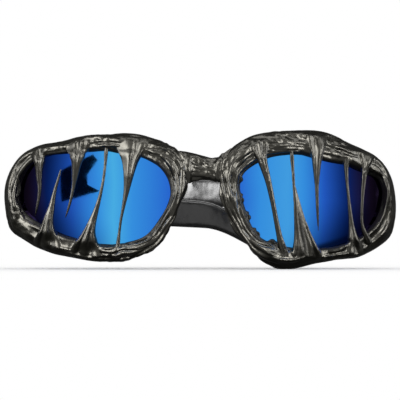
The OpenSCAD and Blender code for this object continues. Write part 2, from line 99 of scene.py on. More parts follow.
def slices(node, along, first, second, count):
    """Cuts a CAD node across `along`: rows of place, least and most `first`, least and most `second`."""
    points = cad_points(node)
    edges = np.array([tuple(e.vertices) for e in nodes[node].data.edges])
    s, a, b = (points @ np.array(axis) for axis in (along, first, second))
    rows = []
    margin = 0.002 * (s.max() - s.min())
    for place in np.linspace(s.min() + margin, s.max() - margin, count):
        crossing = (s[edges[:, 0]] - place) * (s[edges[:, 1]] - place) < 0
        start, end = edges[crossing].T
        t = (place - s[start]) / (s[end] - s[start])
        cut_a = a[start] + t * (a[end] - a[start])
        cut_b = b[start] + t * (b[end] - b[start])
        rows.append([place, cut_a.min(), cut_a.max(), cut_b.min(), cut_b.max()])
    return np.array(rows)


print("right temple cut in 5:", np.round(slices("right_temple", X, Y, Z, 5), 1).tolist())

# %% [markdown]
# ## Shooting rays at them
#
# The coat is too lumpy for cuts, and only its face matters here. A ray shot from the front tells how
# far back the face lies at any place. Blender keeps the triangles in a tree for this, so thousands of
# rays take no time.

# %% Shoot rays at the coat
IN_FRONT = -60.0  # the rays start on this plane, in front of the whole object
BACKWARDS = Vector(Y)


def cad_tree(node):
    """A tree of a CAD node's faces, in millimetres, for rays."""
    return BVHTree.FromPolygons([Vector(p) for p in cad_points(node)], cad_faces(node))


def depth_at(tree, x, z):
    """How far back a tree's surface lies at (x, z), or None beside it."""
    hit = tree.ray_cast(Vector((x, IN_FRONT, z)), BACKWARDS)[0]
    return None if hit is None else hit.y


coat_trees = {part: cad_tree(f"{part}_melt_coat") for part in ("left", "right", "bridge")}


def melt_front(x, z):
    """How far back the front of the melted coat lies at (x, z) or just beside it, or None."""
    for reach in (0, 0.8, 1.6):
        depths = [depth_at(tree, x + step, z) for tree in coat_trees.values() for step in (-reach, reach)]
        depths = [depth for depth in depths if depth is not None]
        if depths:
            return min(depths)
    return None


print("front of the coat on the bridge:", round(melt_front(0, 37), 2))

# %% [markdown]
# ## From rings of points to a mesh
#
# A rope, a strand and a temple are all lofts: rings of points joined by quads, with a cap at each end.
# Curve objects with a bevel would do for round ropes only, so one function lofts any rings. A surface
# made this way is closed, which the voxel remesh of the melted coat needs later.

# %% Loft and tube
def loft(rings):
    """Vertices and faces of a closed loft through rings of equal count."""
    sides, last = len(rings[0]), (len(rings) - 1) * len(rings[0])
    vertices = [tuple(p) for ring in rings for p in ring]
    faces = []
    for low in range(0, last, sides):
        for j in range(sides):
            k = (j + 1) % sides
            faces.append((low + j, low + k, low + sides + k, low + sides + j))
    faces.append(tuple(reversed(range(sides))))
    faces.append(tuple(range(last, last + sides)))
    return vertices, faces


def tube(path, radii, sides=10):
    """A round tube along a path, with its own radius at each point."""
    tangents = np.gradient(path, axis=0)
    tangents /= np.linalg.norm(tangents, axis=1)[:, None] + 1e-9
    turn = np.linspace(0, TURN, sides, endpoint=False)
    rings = []
    for point, tangent, radius in zip(path, tangents, radii):
        side = np.cross(tangent, (0, -1, 0))
        side /= np.linalg.norm(side) + 1e-9
        up = np.cross(side, tangent)
        rings.append([point + radius * (math.cos(v) * side + math.sin(v) * up) for v in turn])
    return loft(rings)


def eased(path, times=1, own=2):
    """The path with its inner points drawn towards their neighbours; `own` is a point's own weight."""
    for _ in range(times):
        path[1:-1] = (path[:-2] + own * path[1:-1] + path[2:]) / (own + 2)
    return path


print("a tube of 3 rings has", len(tube(np.array([X, Y, Z], float), (1, 1, 1))[1]), "faces")

# %% [markdown]
# ## From lofts to an object
#
# The melted coat starts as some fifty lofts. They are put in one mesh, a bmesh operator turns their
# normals outwards, and the object is told which body of the CAD it rides on.

# %% Build an object
def placed(name, data):
    """A new object in the scene."""
    thing = bpy.data.objects.new(name, data)
    bpy.context.scene.collection.objects.link(thing)
    return thing


def build(name, parts, body):
    """One object from several lofts, in metres, riding on a body."""
    vertices, faces = [], []
    for part_vertices, part_faces in parts:
        start = len(vertices)
        vertices += [Vector(p) * MM for p in part_vertices]
        faces += [tuple(start + k for k in face) for face in part_faces]
    mesh = bpy.data.meshes.new(name)
    mesh.from_pydata(vertices, [], faces)
    mesh.validate()
    piece = placed(name, mesh)
    fixed = bmesh.new()
    fixed.from_mesh(mesh)
    bmesh.ops.recalc_face_normals(fixed, faces=fixed.faces)
    fixed.to_mesh(mesh)
    fixed.free()
    mesh.polygons.foreach_set("use_smooth", [True] * len(mesh.polygons))
    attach(piece, body)
    print(name, "is built from", len(parts), "parts with", len(faces), "faces, on", body)
    return piece


# %% [markdown]
# ## The melted coat: where it lies
#
# On the real glasses a thick black plastic was melted over the rims and pulled into strings while it
# was soft. To lay ropes on it, each rim is described in polar terms about the middle of its lens: at
# an angle, the coat runs from an inner to an outer radius, and a share from 0 to 1 says how far out.
# The radii are found by rays, in steps of 2 degrees.

# %% Describe each rim
class Rim:
    """The coat round one lens, in polar terms about the middle of that lens."""

    angles = np.radians(np.arange(0, 360, 2))

    def __init__(self, side):
        low, high = (np.array(corner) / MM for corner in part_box(f"{side}_lens"))
        self.middle = (low + high) / 2
        self.tree = coat_trees[side]
        self.inner, self.outer = np.array([self.span(angle) for angle in self.angles]).T

    def depth(self, x, z):
        return depth_at(self.tree, x, z)

    def across(self, angle, radius):
        return self.middle[0] + radius * math.cos(angle), self.middle[2] + radius * math.sin(angle)

    def span(self, angle):
        """The first and last radius at which the coat is met."""
        met = [r for r in np.arange(8, 50, 0.2) if self.depth(*self.across(angle, r)) is not None]
        return met[0], met[-1]

    def edge(self, which, angle):
        """The radius of the coat's "inner" or "outer" edge at an angle."""
        return np.interp(angle, self.angles, getattr(self, which), period=TURN)

    def place(self, angle, share):
        """The point on the coat's front at an angle and a share of the way out."""
        inner, outer = self.edge("inner", angle), self.edge("outer", angle)
        share = min(max(share, 0.02), 0.97)
        x, z = self.across(angle, inner + share * (outer - inner))
        y = self.depth(x, z)
        return np.array([x, -20 if y is None else y, z])


rims = {side: Rim(side) for side in SIDES}
for side, rim in rims.items():
    print(side, "rim: inner radius", rim.inner.min(), "to", rim.inner.max(), "outer to", rim.outer.max())

# %% [markdown]
# ## Long ropes beside the nose
#
# Where the plastic was dragged along a rim it set in ropes, most of all on the sides of the nose. They
# could be sculpted, but a sculpt can't be read or changed as text. Here a rope is a tube, half sunk in
# the coat, that wanders between two shares of the rim's width while it runs round it.

# %% Lay the long ropes
# Each row: rim, first and last angle, first and last share of the width, radius, sway, waves
NOSE_ROPES = [
    ("right", 66, -70, 0.10, 0.16, 0.70, 0.03, 1.0), ("right", 56, -105, 0.42, 0.30, 0.80, 0.04, 1.5),
    ("right", 45, -80, 0.72, 0.62, 0.80, 0.04, 1.0), ("right", -25, -118, 0.90, 0.80, 0.70, 0.03, 1.0),
    ("left", 116, 240, 0.14, 0.24, 0.70, 0.03, 1.0), ("left", 128, 262, 0.50, 0.54, 0.85, 0.04, 1.5),
    ("left", 140, 235, 0.84, 0.82, 0.80, 0.03, 1.0), ("left", 215, 290, 0.70, 0.40, 0.70, 0.04, 1.0),
    ("left", 168, 208, 0.97, 0.97, 1.10, 0.00, 1.0),
]
DEGREES_A_STEP = 1.6


def smooth_step(x):
    """0 up to x = 0, 1 from x = 1, and an S curve between."""
    x = np.clip(x, 0, 1)
    return x * x * (3 - 2 * x)


def rope(rim, start, end, first_share, last_share, radius, sway, waves, phase=0.0, lift=0.3):
    """A rope round a rim between two angles in degrees, thin at its ends and uneven between them."""
    path, radii = [], []
    for t in np.linspace(0, 1, max(12, int(abs(end - start) / DEGREES_A_STEP))):
        share = first_share + (last_share - first_share) * t + sway * math.sin(TURN * waves * t + phase)
        point = rim.place(math.radians(start + (end - start) * t), share)
        taper = 0.25 + 0.75 * smooth_step(min(t, 1 - t) * 5)
        path.append(point + np.array([0, -lift * radius, 0]))
        radii.append(radius * taper * (1 + 0.2 * math.sin(9 * t + phase)))
    return tube(eased(np.array(path)), radii)


nose_ropes = [rope(rims[side], *row) for side, *row in NOSE_ROPES]
print("long ropes:", len(nose_ropes))

# %% [markdown]
# ## Strings and seams
#
# Thin strings lie over the outer corners and along the brow. They don't follow the rim, so each is
# given by a few corners as seen from the front, is smoothed into a curve, and drops on the coat by
# rays. The coat of the bridge ends just short of the rims' coats: strings sunk in both seams fill them,
# and two more run across them.

# %% Lay the strings
# Each row: radius, then corners [x, z] in millimetres
STRINGS = [
    (0.75, [(-70.2, 38), (-69.6, 35), (-68.9, 32.5), (-68.7, 30), (-69.8, 27.5)]),
    (0.70, [(-70.4, 27), (-69.9, 24.5), (-68.9, 21.5), (-67, 18.4)]),
    (0.55, [(70.5, 37), (71.8, 33), (72, 28), (70.8, 22), (68.5, 17.5)]),
    (0.50, [(57.5, 6.4), (58.6, 5.6), (60.4, 5.7), (61.4, 7)]),
    (0.60, [(-31.5, 5.2), (-36, 7.2), (-41, 8.4), (-45, 7.4)]),
    (0.45, [(24.5, 45.6), (28, 44.6), (33, 44.8), (38, 44.6)]),
    (0.40, [(24, 47.4), (29, 46.8), (34, 47.2), (39, 46.6)]),
]
SEAMS = [
    (1.2, [(7, 33), (6.4, 35.5), (6.7, 38), (7.4, 41), (8.8, 43.6)]),
    (1.2, [(-4.4, 33), (-4.3, 35.5), (-4.7, 38.3), (-5.4, 41), (-7.4, 44.2)]),
    (0.8, [(-13, 43.5), (-7, 40.8), (-1, 38.2), (4, 37.2), (10, 38.6), (14, 41)]),
    (0.8, [(-10, 37), (-5, 36.4), (0, 35.9), (6, 35.4), (11, 33.6)]),
]
SEAM_LIFT = -0.35  # below the coat's face


def through(corners, count):
    """Points spread over the straight lines between corners."""
    corners = np.array(corners, float)
    at = np.linspace(0, len(corners) - 1, count)
    return np.column_stack([np.interp(at, range(len(corners)), values) for values in corners.T])


def string(corners, radius, lift=0.2):
    """A string over the coat through corners [x, z], curved between them."""
    path = eased(through(corners, 12 * len(corners)), times=25, own=0)
    depths = [melt_front(x, z) for x, z in path]
    known = [i for i, depth in enumerate(depths) if depth is not None]
    depths = eased(np.interp(range(len(path)), known, [depths[i] for i in known]), times=12, own=0)
    radii = [radius * (0.5 + 0.5 * smooth_step(4 * min(t, 1 - t))) for t in np.linspace(0, 1, len(path))]
    return tube(np.column_stack([path[:, 0], depths - lift, path[:, 1]]), radii)


strings = [string(corners, radius) for radius, corners in STRINGS]
strings += [string(corners, radius, SEAM_LIFT) for radius, corners in SEAMS]
print("strings and seams:", len(strings))

# %% [markdown]
# ## Drips on the lens
#
# On the nose side of the left lens the melt ran over the lip of its rim in short blunt drips. Evenly
# spaced ones look like a zipper, so their angles, runs and radii are listed one by one. A drip starts
# in the lip, bends down and ends lying on the lens.

# %% Let the coat drip
# Each row: angle in degrees, then run inwards and radius in millimetres
DRIPS = [(163, -0.2, 1.3), (175, 0.1, 0.9), (179, -0.3, 1.2), (190, 0.5, 0.8), (194, 0.0, 1.4),
         (206, 0.4, 1.0), (211, -0.1, 1.5), (226, 0.2, 1.7), (231, 0.6, 1.1)]
lens_trees = {side: cad_tree(f"{side}_lens") for side in SIDES}


def drip(side, angle, run, radius):
    """A blunt run of melt that leaves the inner edge of a rim and lies down on the lens."""
    rim, angle = rims[side], math.radians(angle)
    lip, inner = rim.place(angle, 0.08), rim.edge("inner", angle)
    (x, z), (bend_x, bend_z) = rim.across(angle, inner - run), rim.across(angle, inner - 0.3 * run)
    on_lens = depth_at(lens_trees[side], x, z)
    bend = (bend_x, (lip[1] + on_lens) / 2, bend_z)
    path = eased(through([lip + (0, 0.6, 0), bend, (x, on_lens - 0.2, z)], 9))
    return tube(path, radius * np.linspace(1, 0.8, len(path)))


drips = [drip("left", *row) for row in DRIPS]
print("drips:", len(drips))

# %% [markdown]
# ## Short ropes from a draw
#
# The rest of the rims has a few ropes whose exact places don't matter. Chance may lay them, but from a
# seeded generator, so that each run of this notebook gives the same glasses.

# %% Draw the short ropes
SHORT_ROPES = 3
draw = np.random.default_rng(5)
rope_parts = drips + nose_ropes + strings
for side in SIDES:
    for k in range(SHORT_ROPES):
        start = 360 * k / SHORT_ROPES + draw.uniform(-12, 12)
        length, shares = draw.uniform(50, 110), draw.uniform(0.05, 0.95, 2)
        rope_parts.append(rope(rims[side], start, start + length, *shares, radius=draw.uniform(0.5, 1.0),
                               sway=draw.uniform(0.03, 0.12), waves=draw.uniform(0.5, 2),
                               phase=draw.uniform(0, 6), lift=-0.3))
print("all that lies on the coat:", len(rope_parts))

# %% [markdown]
# ## Roots that run on over the rim
#
# A strand across a lens begins as a fold of the coat itself: its root runs over the face of the rim
# and fades out there. The CAD strand ends in the coat, so its cuts are carried on beyond each wide end,
# in the direction in which the strand leans, until the coat falls away.

# %% Carry the roots on
ROOT_WIDTH = 3.0  # a narrower end is a free tip
FALLS_AWAY = 2.2  # a drop of the coat's face at which a root ends


def grown(rim, rows, step=0.45, longest=8.0):
    """A strand's cuts, carried on over the rim beyond each wide end, and how far they were carried."""
    carried = []
    for order in (1, -1):
        rows, more, nearest = rows[::order], [], math.inf
        widths = rows[:9, 2] - rows[:9, 1]
        if widths.max() > ROOT_WIDTH:
            rows = rows[np.argmax(widths):]
            end, inner_row = rows[0], rows[6]
            way, middle, half = np.sign(end[0] - inner_row[0]), end[1:3].mean(), (end[2] - end[1]) / 2
            lean = np.clip((middle - inner_row[1:3].mean()) / (end[0] - inner_row[0]), -0.6, 0.6)
            while len(more) * step < longest:
                run = step * (len(more) + 1)
                z, x = end[0] + way * run, middle + lean * way * run
                depth = rim.depth(x, z)
                if depth is None or depth > nearest + FALLS_AWAY:
                    break
                nearest = min(nearest, depth)
                wider = half * (1 + 0.02 * run)
                more.append([z, x - wider, x + wider, end[3], end[4]])
        carried.append(step * len(more))
        rows = np.vstack([np.array(more[::-1]).reshape(-1, 5), rows])[::order]
    return rows, carried


def upright_cuts(node):
    """A strand's cuts from bottom to top: height, least and most x, least and most y."""
    return slices(node, Z, X, Y, 70)


print("left_strand_4 runs on by", np.round(grown(rims["left"], upright_cuts("left_strand_4"))[1], 2), "mm")

# %% [markdown]
# ## The folded section of a strand
#
# Pulled plastic keeps folds along its length: two or three on a wide root, which run together in the
# thread. A plain ellipse looks like a noodle. So the front of each section is folded, round on the
# ridges and sharp in the grooves, and the places of the grooves are shifted so that no two are alike.

# %% Shape the section
# Folds of each strand: how many, how uneven, and how many millimetres wider the root flares than the CAD
FOLDS = {
    "left_strand_1": (2, 0.1, 0.5), "left_strand_2": (2, -0.2, 2.0), "left_strand_3": (2, 0.5, 1.2),
    "left_strand_4": (2, 0.2, 3.2), "left_strand_5": (3, -0.3, 0.6), "left_strand_6": (2, -0.2, 3.4),
    "right_strand_1": (2, 0.1, 0.6), "right_strand_2": (3, 0.3, 0.5), "right_strand_3": (3, -0.5, 0.8),
    "right_strand_4": (3, 0.3, 0.8), "right_strand_5": (2, -0.6, 1.0),
}
SECTION_POINTS = 48
section_turn = np.linspace(0, TURN, SECTION_POINTS, endpoint=False)
ACROSS, FRONT = np.cos(section_turn), np.sin(section_turn)
SHARE = (ACROSS + 1) / 2
BULGE = np.sign(FRONT) * np.abs(FRONT) ** 0.7 * np.where(FRONT > 0, 1, 0.8)
FADE_TO_SIDES = np.maximum(FRONT, 0) ** 0.3


def grooved(folds, uneven):
    """How far back each point of a section lies: above 0 in a groove, below 0 on a ridge."""
    place = SHARE + uneven * 0.5 * np.sin(math.pi * SHARE) * (1 - SHARE)
    within = (folds * place) % 1
    slope = np.minimum(within / 0.7, (1 - within) / 0.3)
    return np.where(FRONT > 0, 0.6 - (0.8 * np.abs(np.sin(math.pi * within)) ** 0.7 + 0.3 * slope), 0)


print("two folds, across the front:", np.round(grooved(2, 0.1)[:SECTION_POINTS // 2:4], 2))

# %% [markdown]
# ## Strands across the lenses
#
# A strand hangs free over the lens as the CAD strand does. Towards a root it lets go of the CAD section
# and lies on the coat: it spreads, flares and thins out, so that it grows out of the coat and doesn't
# look stuck on. The depths of the coat below are eased, because a strand bridges the small dips.

# %% Loft the strands
ROOT_HEIGHT, FOLD_HEIGHT = 1.1, 1.5  # over the coat, at most
LETS_GO, SPREADS, FLARES = 5.5, 9, 8  # the lengths over which a root leaves the coat, spreads and flares


def half_widths(rim, x, z, width, free):
    """The half width on each hand: a root stops where the coat ends, and a free stretch doesn't."""
    halves = []
    for hand in (-1, 1):
        half = width / 2
        while free < 1 and half > 0.4 and rim.depth(x + hand * half, z) is None:
            half -= 0.2
        halves.append(half + (width / 2 - half) * free)
    return halves


def strand(node, folds, uneven, flare):
    """A folded strand along the cuts of its CAD solid, laid on the coat at its roots."""
    rim, cut = rims[node.split("_")[0]], upright_cuts(node)
    rows, carried = grown(rim, cut)
    low, high = cut[0, 0], cut[-1, 0]
    beds, shapes = [], []
    for z, x0, x1, y0, y1 in rows:
        lower = z - low < high - z
        from_end, beyond = (z - low, carried[0]) if lower else (high - z, carried[1])
        near = cut[:12] if lower else cut[-12:]
        rooted = smooth_step(((near[:, 2] - near[:, 1]).max() - 1.8) / 2)
        free = 1 - rooted * (1 - smooth_step((from_end - 0.5) / LETS_GO))
        middle_x = (x0 + x1) / 2
        if free < 0.3 and rim.depth(middle_x, z) is None:
            continue
        width = (x1 - x0) * (1 + 0.55 * rooted * (1 - smooth_step(max(from_end, 0) / SPREADS)))
        width += flare * rooted * math.exp(-max(from_end - 2, 0) / FLARES)
        least, most = half_widths(rim, middle_x, z, width, free)
        xs = middle_x + ACROSS * np.where(ACROSS > 0, most, least)
        spare = rim.depth(middle_x, z) or (y0 + y1) / 2
        bed = [rim.depth(x, z) for x in xs]
        beds.append([spare if depth is None else depth for depth in bed])
        rise = smooth_step(0.12 + (from_end + beyond) / 3.5) if rooted > 0 else 1
        shapes.append((xs, z, y0, y1, free, rise, min(0.15 + 0.19 * width, FOLD_HEIGHT) * rise))
    rings, grooves = [], grooved(folds, uneven)
    for bed, (xs, z, y0, y1, free, rise, fold_height) in zip(eased(np.array(beds), times=8), shapes):
        hung = (y0 + y1) / 2 - (y1 - y0) / 2 * BULGE
        laid = np.where(FRONT > 0, bed + 0.3 - ROOT_HEIGHT * rise * (1 - ACROSS * ACROSS), bed + 1.0)
        ys = laid + (hung - laid) * free + fold_height * grooves * FADE_TO_SIDES
        rings.append(np.column_stack([xs, ys, np.full(SECTION_POINTS, z)]))
    return loft(rings)


strand_parts = [strand(node, *shape) for node, shape in FOLDS.items()]
print("strands:", len(strand_parts), "with", [len(points) for points, _ in strand_parts], "points")

# %% [markdown]
# ## The web in the fork
#
# On the left lens one strand forks, and a thin skin of plastic is left between its two arms. It is
# lofted from arm to arm, a ring at each height, and folded like the strands. A flat sheet would do
# from the front, but the remesh needs a skin with a thickness.

# %% Stretch the web
def web(first, second, low, high, ridges=3, thickness=1.3, step=0.45):
    """A folded skin between the two arms of a forked strand, between two heights."""
    prongs = [upright_cuts(node) for node in (first, second)]
    folded = np.abs(np.sin(math.pi * ridges * SHARE)) ** 0.7
    rings = []
    for z in np.arange(low, high, step):
        x0, x1 = (np.interp(z, prong[:, 0], prong[:, 1:3].mean(1)) for prong in prongs)
        y0, y1 = (np.interp(z, prong[:, 0], prong[:, 3:5].mean(1)) for prong in prongs)
        fold = (0.2 + 0.12 * abs(x1 - x0)) * folded * FADE_TO_SIDES
        ys = y0 + (y1 - y0) * SHARE - thickness / 2 * FRONT - fold + 0.3
        rings.append(np.column_stack([x0 + (x1 - x0) * SHARE, ys, np.full(SECTION_POINTS, z)]))
    return loft(rings)


rope_parts.append(web("left_strand_4", "left_strand_6", 4.5, 31.0))
print("points of the web:", len(rope_parts[-1][0]))

# %% [markdown]
# ## Melting it all together
#
# Coat, ropes and strands were one liquid. Laid over each other as separate lofts they would show hard
# creases, and a boolean union keeps those. A voxel remesh keeps only the outer skin of all of them, and
# a few smoothing steps then round the joints as surface tension did. The lenses don't see the melt,
# because strands so close to a mirror would show dark doubles that the real lenses don't have.

# %% Remesh the melt
MELT_VOXEL = 0.26
COAT_NODES = [f"{part}_melt_coat" for part in coat_trees]


def applied(piece):
    """The piece's mesh with its modifiers applied."""
    graph = bpy.context.evaluated_depsgraph_get()
    mesh = bpy.data.meshes.new_from_object(piece.evaluated_get(graph))
    piece.modifiers.clear()
    piece.data = mesh
    return mesh


coat_parts = [(cad_points(node), cad_faces(node)) for node in COAT_NODES]
melt = build("melted_coat", coat_parts + rope_parts + strand_parts, "front")
skin = melt.modifiers.new("skin", "REMESH")
skin.mode, skin.voxel_size, skin.use_smooth_shade = "VOXEL", MELT_VOXEL * MM, True
tension = melt.modifiers.new("tension", "SMOOTH")
tension.factor, tension.iterations = 0.5, 9
melt_mesh = applied(melt)
melt.visible_glossy = False
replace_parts(melt, *COAT_NODES, *FOLDS)
print("melt:", len(melt_mesh.vertices), "vertices")

# %% [markdown]
# ## Finding the way on the melt
#
# The relief of the coat differs from place to place: cords beside the nose, lumps on the brow, nothing
# on the strands. So each vertex is first told where it is: its angle and its share of the rim, and how
# much it belongs to the rim, the bridge or a strand. NumPy does this for all vertices at once. Two sets
# of coordinates are stretched along the way the plastic flowed.

# %% Place each vertex
BRIDGE_MIDDLE = 0.8
RIM_RADIUS = 30  # turns angles into millimetres along the rim
STRETCH = 7  # how much longer than wide a mark of the flow is

points, normals = np.empty(len(melt_mesh.vertices) * 3), np.empty(len(melt_mesh.vertices) * 3)
melt_mesh.vertices.foreach_get("co", points)
melt_mesh.vertices.foreach_get("normal", normals)
points, normals = points.reshape(-1, 3) / MM, normals.reshape(-1, 3)
xs, ys, zs = points.T
on_left = xs > BRIDGE_MIDDLE


def by_side(left, right):
    """One of two values for each vertex, by the side of the glasses that it is on."""
    return np.where(on_left, left, right)


away_x, away_z = (at - by_side(*(rims[name].middle[k] for name in SIDES)) for at, k in ((xs, 0), (zs, 2)))
angle, radius = np.arctan2(away_z, away_x) % TURN, np.hypot(away_x, away_z)
inner, outer = (by_side(*(rims[name].edge(which, angle) for name in SIDES)) for which in ("inner", "outer"))
share = (radius - inner) / (outer - inner)
on_rim = smooth_step((radius - inner + 0.6) / 1.8)
on_bridge = 1 - smooth_step((np.abs(xs - BRIDGE_MIDDLE) - 5.5) / 3.5)
on_strand = np.zeros(len(points))
for vertices, _ in strand_parts:
    rings = np.array(vertices).reshape(-1, SECTION_POINTS, 3)
    z, low, high = rings[:, 0, 2], rings[:, :, 0].min(1), rings[:, :, 0].max(1)
    aside = np.abs(xs - np.interp(zs, z, (low + high) / 2)) - np.interp(zs, z, (high - low) / 2)
    beyond = np.maximum(z[0] - zs, zs - z[-1])
    on_strand = np.maximum(on_strand, 1 - smooth_step(np.maximum(aside, beyond) / 1.4 + 0.5))
round_rim = np.column_stack(
    [radius, RIM_RADIUS * np.cos(angle) / STRETCH, RIM_RADIUS * np.sin(angle) / STRETCH])
along_bridge = np.column_stack([xs / STRETCH, ys / 3, zs])
print("share of the melt on rims, bridge and strands:",
      [round(float(part.mean()), 2) for part in (on_rim, on_bridge, on_strand)])

# %% [markdown]
# ## Cords, lumps and pits
#
# Sharp cords run along the nose side of each rim, and the melt boiled up in lumps here and there. A
# bump map would shade them but leave the outline smooth, so the vertices themselves are pushed along
# their normals, and only a little on the strands.

# %% Push the skin
# Places where the melt boiled, from the front: x, z, radius in millimetres, and strength
BOILS = [
    (-37, 46.5, 6, 0.8), (-15, 44, 5, 0.9), (-52, 45, 3.5, 0.7), (-33, 5, 7, 0.5), (32, 48.5, 6, 0.5),
    (53, 44.5, 4.5, 0.8), (9, 37, 4, 0.6), (66, 38, 4, 0.6), (-70, 20, 5, 0.6), (50, 5.5, 5, 0.5),
]
CORDS = 3.8
FOLDED, BROAD, FINE = 0.42, 0.11, 0.48  # how often the noise turns in a millimetre
NOSE_LEFT, NOSE_RIGHT, NOSE_REACH = (math.radians(degrees) for degrees in (190, -25, 68))


def noise_at(places, frequency):
    return np.array([noise.noise(Vector(p) * frequency) for p in places])


past_nose = (angle - by_side(NOSE_LEFT, NOSE_RIGHT) + math.pi) % TURN - math.pi
beside_nose = smooth_step((NOSE_REACH - np.abs(past_nose)) / (NOSE_REACH / 2))
wander = noise_at(np.column_stack([share * 1.5, 3 * np.cos(angle), 3 * np.sin(angle)]), 1.0)
cords = np.abs(np.sin(math.pi * (CORDS * share + by_side(0.8, -0.8) * past_nose + 1.1 * wander))) ** 0.7
cord_height = (0.02 + 0.55 * beside_nose) * (1 - on_bridge) * (1 + 0.8 * wander)
folded = (1 - on_bridge) * noise_at(round_rim, FOLDED) + on_bridge * noise_at(along_bridge, FOLDED)
broad, fine = noise_at(points, BROAD), noise_at(points, FINE)
boiling = sum(force * np.exp(-((xs - x) ** 2 + (zs - z) ** 2) / reach ** 2) for x, z, reach, force in BOILS)
relief = cord_height * (cords - 0.6) + 0.06 * folded + 0.45 * broad
relief += boiling * (0.6 * fine - 0.4 * np.maximum(0, -fine))
push = on_rim * (1 - 0.9 * on_strand) * relief
moved = points + normals * push[:, None]
moved[:, 2] = np.maximum(moved[:, 2], 0.0)
melt_mesh.vertices.foreach_set("co", (moved * MM).ravel())
melt_mesh.update()
print("melt after the push:", np.round(moved.min(0), 2), np.round(moved.max(0), 2))

# %% [markdown]
# ## Notes for the shader
#
# A shader can't know what is rim and what is strand. Three notes are written on the vertices as
# attributes: the stretched coordinates of the flow, how much the plastic was drawn out, and where shade
# is painted. The lip round each lens gets painted shade: a dull black stands for the shadow in that recess.

# %% Write the notes
def note(name, kind, field, values):
    """Stores a value for each vertex of the melt under a name that a shader can read."""
    melt_mesh.attributes.new(name, kind, "POINT").data.foreach_set(field, values.ravel())
    print("note", name, "from", round(float(values.min()), 2), "to", round(float(values.max()), 2))


along_rim = (on_rim > 0.4) & (on_strand < 0.5)
note("flow", "FLOAT_VECTOR", "vector", np.where(along_rim[:, None], round_rim, points * (1, 0.2, 0.1)))
note("drawn", "FLOAT", "value", np.maximum(1 - on_rim, on_strand))
# Painted shade mask: 1 on the lip round each lens, fading outwards, none on strands and bridge
note("sheltered", "FLOAT", "value",
     (1 - smooth_step((radius - inner - 0.7) / 1.5)) * (1 - on_strand) * (1 - on_bridge))

# %% [markdown]
# ## Mirror lenses
#
# Both lenses are cut from one sphere. A mirror shows every facet of a mesh, so they are built from the
# formula of the sphere and not from CAD facets. The sphere is fitted to points on the front of each CAD
# lens by least squares, and the outline is the farthest radius at which a ray still meets the lens.

# %% Make the lenses
LENS_THICKNESS, LENS_CHAMFER = 2.0, 0.25
LENS_ANGLES = np.radians(np.arange(0, 360, 3))


def lens_sphere(side, reach):
    """Centre and radius of the sphere that the front of a CAD lens lies on."""
    spots = [rims[side].across(angle, share * far)
             for angle, far in zip(LENS_ANGLES[::6], reach[::6]) for share in (0.2, 0.5, 0.8)]
    met = np.array([(x, depth_at(lens_trees[side], x, z), z) for x, z in spots])
    fit = np.linalg.lstsq(np.column_stack([2 * met, np.ones(len(met))]), (met ** 2).sum(1), rcond=None)[0]
    return fit[:3], math.sqrt(fit[3] + (fit[:3] ** 2).sum())


def lens(side):
    """One lens: rings on the sphere from its middle to its edge, and back on the inner side."""
    reach = []
    for angle in LENS_ANGLES:
        places = [(r, rims[side].across(angle, r)) for r in np.arange(8, 45, 0.1)]
        reach.append([r for r, place in places if depth_at(lens_trees[side], *place) is not None][-1])
    centre, radius = lens_sphere(side, reach)
    print(side, "lens sphere:", np.round(centre, 2), "radius", round(radius, 2))

    def ring(share, deep):
        made = []
        for angle, far in zip(LENS_ANGLES, reach):
            x, z = rims[side].across(angle, share * far)
            drop = math.sqrt((radius - deep) ** 2 - (x - centre[0]) ** 2 - (z - centre[2]) ** 2)
            made.append((x, centre[1] - drop, z))
        return made

    shares = [0.03] + list(np.linspace(0.1, 0.98, 14)) + [0.995]
    rings = [ring(share, 0) for share in shares]
    rings += [ring(1, LENS_CHAMFER), ring(1, LENS_THICKNESS - LENS_CHAMFER)]
    rings += [ring(share, LENS_THICKNESS) for share in reversed(shares)]
    piece = build(f"{side}_mirror_lens", [loft(rings)], "front")
    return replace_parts(piece, f"{side}_lens")


lenses = [lens(side) for side in SIDES]

# %% [markdown]
# ## Temples
#
# A temple is a straight bar that thins out and drops into an ear hook. Its CAD solid has a dozen flat
# facets round; polished plastic shows them. A loft of finer, rounded sections through the same cuts
# has the same size and a clean highlight. The temple leans with the axis of its hinge, so the hinge's
# own joint gives the directions of the cuts.

# %% Make the temples
SQUARENESS = 0.5  # the power of sine and cosine: 1 gives an ellipse, near 0 a rectangle
NEAR_HINGE, FAR_FROM_HINGE = 20, 40  # the middles of these two ends give the temple's direction


def rounded(low, high, value):
    """A place between two limits for a sine or cosine, pulled towards the limits."""
    return (low + high) / 2 + (high - low) / 2 * math.copysign(abs(value) ** SQUARENESS, value)


def temple(side):
    """One temple, as a loft of rounded sections through the cuts of its CAD solid."""
    node = f"{side}_temple"
    joint = next(j for j in frame["joints"] if j["child"] == node)
    up = np.array(joint["axis"]) * np.sign(joint["axis"][2])
    from_hinge = cad_points(node) - np.array(joint["pos_m"]) / MM
    reach = np.linalg.norm(from_hinge, axis=1)
    along = from_hinge[reach > FAR_FROM_HINGE].mean(0) - from_hinge[reach < NEAR_HINGE].mean(0)
    along -= up * (along @ up)
    along /= np.linalg.norm(along)
    deep = np.cross(up, along)
    rings = [
        [along * place + deep * rounded(d0, d1, math.cos(v)) + up * rounded(u0, u1, math.sin(v))
         for v in np.linspace(0, TURN, 40, endpoint=False)]
        for place, d0, d1, u0, u1 in slices(node, along, deep, up, 150)[::2]
    ]
    piece = build(f"{side}_arm", [loft(rings)], node)
    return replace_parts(piece, node)


arms = [temple(side) for side in SIDES]

# %% [markdown]
# ## Shader maths as Python
#
# A procedural finish is a small sum: noise, stretched and scaled, added to a colour. Wiring that by
# hand takes many lines that hide the sum. A wrapped socket that knows plus, minus and times lets the
# sum be written as it is thought: `0.2 + 0.1 * grain`. Numbers go through Math nodes, and colours and
# vectors through Vector Math, because a Math node would turn a colour grey.

